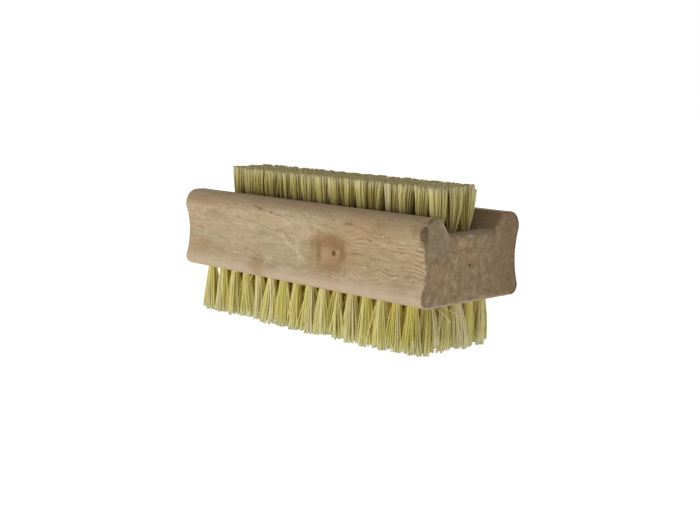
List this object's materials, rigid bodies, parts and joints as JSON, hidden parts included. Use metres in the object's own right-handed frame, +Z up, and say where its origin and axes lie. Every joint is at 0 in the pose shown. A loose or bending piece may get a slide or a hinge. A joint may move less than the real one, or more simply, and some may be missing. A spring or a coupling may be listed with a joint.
{
  "type": "wooden nail brush",
  "caption": "Two-sided wooden nail brush with finger grooves, a trough along its top and plant fibre tufts above and below.",
  "frame": {"origin": "under the middle of the block, on the plane that the lower bristle tips touch", "axes": "+X along the block towards the end with the shorter bare stretch of trough, +Y across the block, +Z up through the upper bristles"},
  "size_m": [0.095, 0.037, 0.042],
  "materials": {
    "wood": "bare sanded hardwood",
    "lower_fibre": "pale straw plant fibre",
    "upper_fibre": "straw plant fibre",
    "anchor_metal": "bare flat wire"
  },
  "bodies": {
    "root": {"block": "wood", "lower_bristles_row_1": "lower_fibre", "lower_bristles_row_2": "lower_fibre", "lower_bristles_row_3": "lower_fibre", "lower_bristles_row_4": "lower_fibre", "lower_bristles_row_5": "lower_fibre", "lower_bristles_row_6": "lower_fibre", "upper_bristles_row_1": "upper_fibre", "upper_bristles_row_2": "upper_fibre", "upper_bristles_row_3": "upper_fibre", "lower_anchors_row_1": "anchor_metal", "lower_anchors_row_2": "anchor_metal", "lower_anchors_row_3": "anchor_metal", "lower_anchors_row_4": "anchor_metal", "lower_anchors_row_5": "anchor_metal", "lower_anchors_row_6": "anchor_metal", "upper_anchors_row_1": "anchor_metal", "upper_anchors_row_2": "anchor_metal", "upper_anchors_row_3": "anchor_metal"}
  },
  "joints": []
}
